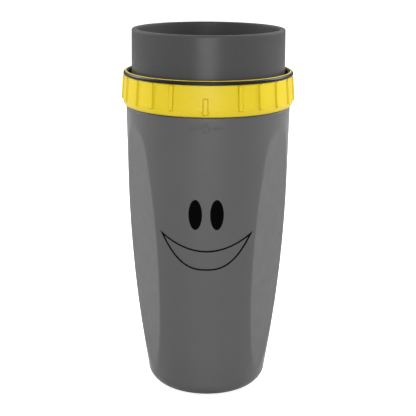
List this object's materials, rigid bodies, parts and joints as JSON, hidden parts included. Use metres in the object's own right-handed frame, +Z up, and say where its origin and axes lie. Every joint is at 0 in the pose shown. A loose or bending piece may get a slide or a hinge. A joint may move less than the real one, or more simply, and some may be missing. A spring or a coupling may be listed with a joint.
{
  "type": "twist-closure travel tumbler",
  "caption": "Double-wall travel drinking cup whose collar turns half a turn to twist a soft sleeve shut across the throat under an open drinking neck.",
  "frame": {"origin": "centre of the resting face under the base, on the cup's axis", "axes": "+Z up along the cup's axis to the drinking rim; -Y is the front, where the print, the open mark and the arrow are; +X is to the right seen from the front"},
  "size_m": [0.093, 0.0929, 0.2],
  "materials": {
    "shell_soft_grey": "soft-touch satin, fine matt texture",
    "liner_grey": "moulded satin",
    "neck_grey": "moulded satin",
    "collar_yellow": "moulded semi-gloss",
    "trim_black": "polished",
    "print_black": "pad-printed ink",
    "seal_black": "moulded",
    "gasket_white": "moulded silicone",
    "glide_white": "slippery acetal",
    "hidden_grey": "moulded",
    "sleeve_film": "thin matt silicone film"
  },
  "bodies": {
    "cup": {"outer_shell": "shell_soft_grey", "inner_liner": "liner_grey", "rim_seal": "seal_black", "base_cap": "liner_grey", "base_pad": "seal_black", "face_print": "print_black"},
    "lid_gasket": {"lid_gasket": "gasket_white"},
    "lid_base": {"lid_base": "liner_grey", "glide_ring": "glide_white", "retaining_ring": "hidden_grey", "lower_clamp_ring": "hidden_grey"},
    "collar": {"twist_collar": "collar_yellow", "trim_ring": "trim_black", "neck": "neck_grey", "neck_lock_ring": "seal_black", "upper_clamp_ring": "hidden_grey"},
    "gore_lower_1": {"sleeve_lower_1": "sleeve_film"},
    "gore_lower_2": {"sleeve_lower_2": "sleeve_film"},
    "gore_lower_3": {"sleeve_lower_3": "sleeve_film"},
    "gore_lower_4": {"sleeve_lower_4": "sleeve_film"},
    "gore_lower_5": {"sleeve_lower_5": "sleeve_film"},
    "gore_lower_6": {"sleeve_lower_6": "sleeve_film"},
    "gore_lower_7": {"sleeve_lower_7": "sleeve_film"},
    "gore_lower_8": {"sleeve_lower_8": "sleeve_film"},
    "gore_lower_9": {"sleeve_lower_9": "sleeve_film"},
    "gore_lower_10": {"sleeve_lower_10": "sleeve_film"},
    "gore_lower_11": {"sleeve_lower_11": "sleeve_film"},
    "gore_lower_12": {"sleeve_lower_12": "sleeve_film"},
    "gore_upper_1": {"sleeve_upper_1": "sleeve_film"},
    "gore_upper_2": {"sleeve_upper_2": "sleeve_film"},
    "gore_upper_3": {"sleeve_upper_3": "sleeve_film"},
    "gore_upper_4": {"sleeve_upper_4": "sleeve_film"},
    "gore_upper_5": {"sleeve_upper_5": "sleeve_film"},
    "gore_upper_6": {"sleeve_upper_6": "sleeve_film"},
    "gore_upper_7": {"sleeve_upper_7": "sleeve_film"},
    "gore_upper_8": {"sleeve_upper_8": "sleeve_film"},
    "gore_upper_9": {"sleeve_upper_9": "sleeve_film"},
    "gore_upper_10": {"sleeve_upper_10": "sleeve_film"},
    "gore_upper_11": {"sleeve_upper_11": "sleeve_film"},
    "gore_upper_12": {"sleeve_upper_12": "sleeve_film"}
  },
  "joints": [
    {"name": "lid_rise", "type": "slide", "parent": "cup", "child": "lid_gasket", "axis": [0, 0, 1], "range_m": [0, 0.0176]},
    {"name": "lid_unscrew", "type": "hinge", "parent": "lid_gasket", "child": "lid_base", "pos_m": [0, 0, 0.1596], "axis": [0, 0, 1], "range_deg": [0, 450]},
    {"name": "collar_twist", "type": "hinge", "parent": "lid_base", "child": "collar", "pos_m": [0, 0, 0.1693], "axis": [0, 0, -1], "range_deg": [0, 180]},
    {"name": "gather_lower_1", "type": "hinge", "parent": "lid_base", "child": "gore_lower_1", "pos_m": [0.01773, -0.01773, 0.154], "axis": [0, 0, -1], "range_deg": [0, 90], "deforming": ["sleeve_lower_1"]},
    {"name": "gather_lower_2", "type": "hinge", "parent": "lid_base", "child": "gore_lower_2", "pos_m": [0.02421, -0.00649, 0.154], "axis": [0, 0, -1], "range_deg": [0, 90], "deforming": ["sleeve_lower_2"]},
    {"name": "gather_lower_3", "type": "hinge", "parent": "lid_base", "child": "gore_lower_3", "pos_m": [0.02421, 0.00649, 0.154], "axis": [0, 0, -1], "range_deg": [0, 90], "deforming": ["sleeve_lower_3"]},
    {"name": "gather_lower_4", "type": "hinge", "parent": "lid_base", "child": "gore_lower_4", "pos_m": [0.01773, 0.01773, 0.154], "axis": [0, 0, -1], "range_deg": [0, 90], "deforming": ["sleeve_lower_4"]},
    {"name": "gather_lower_5", "type": "hinge", "parent": "lid_base", "child": "gore_lower_5", "pos_m": [0.00649, 0.02421, 0.154], "axis": [0, 0, -1], "range_deg": [0, 90], "deforming": ["sleeve_lower_5"]},
    {"name": "gather_lower_6", "type": "hinge", "parent": "lid_base", "child": "gore_lower_6", "pos_m": [-0.00649, 0.02421, 0.154], "axis": [0, 0, -1], "range_deg": [0, 90], "deforming": ["sleeve_lower_6"]},
    {"name": "gather_lower_7", "type": "hinge", "parent": "lid_base", "child": "gore_lower_7", "pos_m": [-0.01773, 0.01773, 0.154], "axis": [0, 0, -1], "range_deg": [0, 90], "deforming": ["sleeve_lower_7"]},
    {"name": "gather_lower_8", "type": "hinge", "parent": "lid_base", "child": "gore_lower_8", "pos_m": [-0.02421, 0.00649, 0.154], "axis": [0, 0, -1], "range_deg": [0, 90], "deforming": ["sleeve_lower_8"]},
    {"name": "gather_lower_9", "type": "hinge", "parent": "lid_base", "child": "gore_lower_9", "pos_m": [-0.02421, -0.00649, 0.154], "axis": [0, 0, -1], "range_deg": [0, 90], "deforming": ["sleeve_lower_9"]},
    {"name": "gather_lower_10", "type": "hinge", "parent": "lid_base", "child": "gore_lower_10", "pos_m": [-0.01773, -0.01773, 0.154], "axis": [0, 0, -1], "range_deg": [0, 90], "deforming": ["sleeve_lower_10"]},
    {"name": "gather_lower_11", "type": "hinge", "parent": "lid_base", "child": "gore_lower_11", "pos_m": [-0.00649, -0.02421, 0.154], "axis": [0, 0, -1], "range_deg": [0, 90], "deforming": ["sleeve_lower_11"]},
    {"name": "gather_lower_12", "type": "hinge", "parent": "lid_base", "child": "gore_lower_12", "pos_m": [0.00649, -0.02421, 0.154], "axis": [0, 0, -1], "range_deg": [0, 90], "deforming": ["sleeve_lower_12"]},
    {"name": "gather_upper_1", "type": "hinge", "parent": "collar", "child": "gore_upper_1", "pos_m": [-0.01773, -0.01773, 0.1675], "axis": [0, 0, 1], "range_deg": [0, 90], "deforming": ["sleeve_upper_1"]},
    {"name": "gather_upper_2", "type": "hinge", "parent": "collar", "child": "gore_upper_2", "pos_m": [-0.00649, -0.02421, 0.1675], "axis": [0, 0, 1], "range_deg": [0, 90], "deforming": ["sleeve_upper_2"]},
    {"name": "gather_upper_3", "type": "hinge", "parent": "collar", "child": "gore_upper_3", "pos_m": [0.00649, -0.02421, 0.1675], "axis": [0, 0, 1], "range_deg": [0, 90], "deforming": ["sleeve_upper_3"]},
    {"name": "gather_upper_4", "type": "hinge", "parent": "collar", "child": "gore_upper_4", "pos_m": [0.01773, -0.01773, 0.1675], "axis": [0, 0, 1], "range_deg": [0, 90], "deforming": ["sleeve_upper_4"]},
    {"name": "gather_upper_5", "type": "hinge", "parent": "collar", "child": "gore_upper_5", "pos_m": [0.02421, -0.00649, 0.1675], "axis": [0, 0, 1], "range_deg": [0, 90], "deforming": ["sleeve_upper_5"]},
    {"name": "gather_upper_6", "type": "hinge", "parent": "collar", "child": "gore_upper_6", "pos_m": [0.02421, 0.00649, 0.1675], "axis": [0, 0, 1], "range_deg": [0, 90], "deforming": ["sleeve_upper_6"]},
    {"name": "gather_upper_7", "type": "hinge", "parent": "collar", "child": "gore_upper_7", "pos_m": [0.01773, 0.01773, 0.1675], "axis": [0, 0, 1], "range_deg": [0, 90], "deforming": ["sleeve_upper_7"]},
    {"name": "gather_upper_8", "type": "hinge", "parent": "collar", "child": "gore_upper_8", "pos_m": [0.00649, 0.02421, 0.1675], "axis": [0, 0, 1], "range_deg": [0, 90], "deforming": ["sleeve_upper_8"]},
    {"name": "gather_upper_9", "type": "hinge", "parent": "collar", "child": "gore_upper_9", "pos_m": [-0.00649, 0.02421, 0.1675], "axis": [0, 0, 1], "range_deg": [0, 90], "deforming": ["sleeve_upper_9"]},
    {"name": "gather_upper_10", "type": "hinge", "parent": "collar", "child": "gore_upper_10", "pos_m": [-0.01773, 0.01773, 0.1675], "axis": [0, 0, 1], "range_deg": [0, 90], "deforming": ["sleeve_upper_10"]},
    {"name": "gather_upper_11", "type": "hinge", "parent": "collar", "child": "gore_upper_11", "pos_m": [-0.02421, 0.00649, 0.1675], "axis": [0, 0, 1], "range_deg": [0, 90], "deforming": ["sleeve_upper_11"]},
    {"name": "gather_upper_12", "type": "hinge", "parent": "collar", "child": "gore_upper_12", "pos_m": [-0.02421, -0.00649, 0.1675], "axis": [0, 0, 1], "range_deg": [0, 90], "deforming": ["sleeve_upper_12"]}
  ],
  "couplings": [
    {"joint": "lid_rise", "follows": "lid_unscrew", "m_per_rad": 0.0022282},
    {"joint": "gather_lower_1", "follows": "collar_twist", "ratio": 0.5},
    {"joint": "gather_lower_2", "follows": "collar_twist", "ratio": 0.5},
    {"joint": "gather_lower_3", "follows": "collar_twist", "ratio": 0.5},
    {"joint": "gather_lower_4", "follows": "collar_twist", "ratio": 0.5},
    {"joint": "gather_lower_5", "follows": "collar_twist", "ratio": 0.5},
    {"joint": "gather_lower_6", "follows": "collar_twist", "ratio": 0.5},
    {"joint": "gather_lower_7", "follows": "collar_twist", "ratio": 0.5},
    {"joint": "gather_lower_8", "follows": "collar_twist", "ratio": 0.5},
    {"joint": "gather_lower_9", "follows": "collar_twist", "ratio": 0.5},
    {"joint": "gather_lower_10", "follows": "collar_twist", "ratio": 0.5},
    {"joint": "gather_lower_11", "follows": "collar_twist", "ratio": 0.5},
    {"joint": "gather_lower_12", "follows": "collar_twist", "ratio": 0.5},
    {"joint": "gather_upper_1", "follows": "collar_twist", "ratio": 0.5},
    {"joint": "gather_upper_2", "follows": "collar_twist", "ratio": 0.5},
    {"joint": "gather_upper_3", "follows": "collar_twist", "ratio": 0.5},
    {"joint": "gather_upper_4", "follows": "collar_twist", "ratio": 0.5},
    {"joint": "gather_upper_5", "follows": "collar_twist", "ratio": 0.5},
    {"joint": "gather_upper_6", "follows": "collar_twist", "ratio": 0.5},
    {"joint": "gather_upper_7", "follows": "collar_twist", "ratio": 0.5},
    {"joint": "gather_upper_8", "follows": "collar_twist", "ratio": 0.5},
    {"joint": "gather_upper_9", "follows": "collar_twist", "ratio": 0.5},
    {"joint": "gather_upper_10", "follows": "collar_twist", "ratio": 0.5},
    {"joint": "gather_upper_11", "follows": "collar_twist", "ratio": 0.5},
    {"joint": "gather_upper_12", "follows": "collar_twist", "ratio": 0.5}
  ]
}
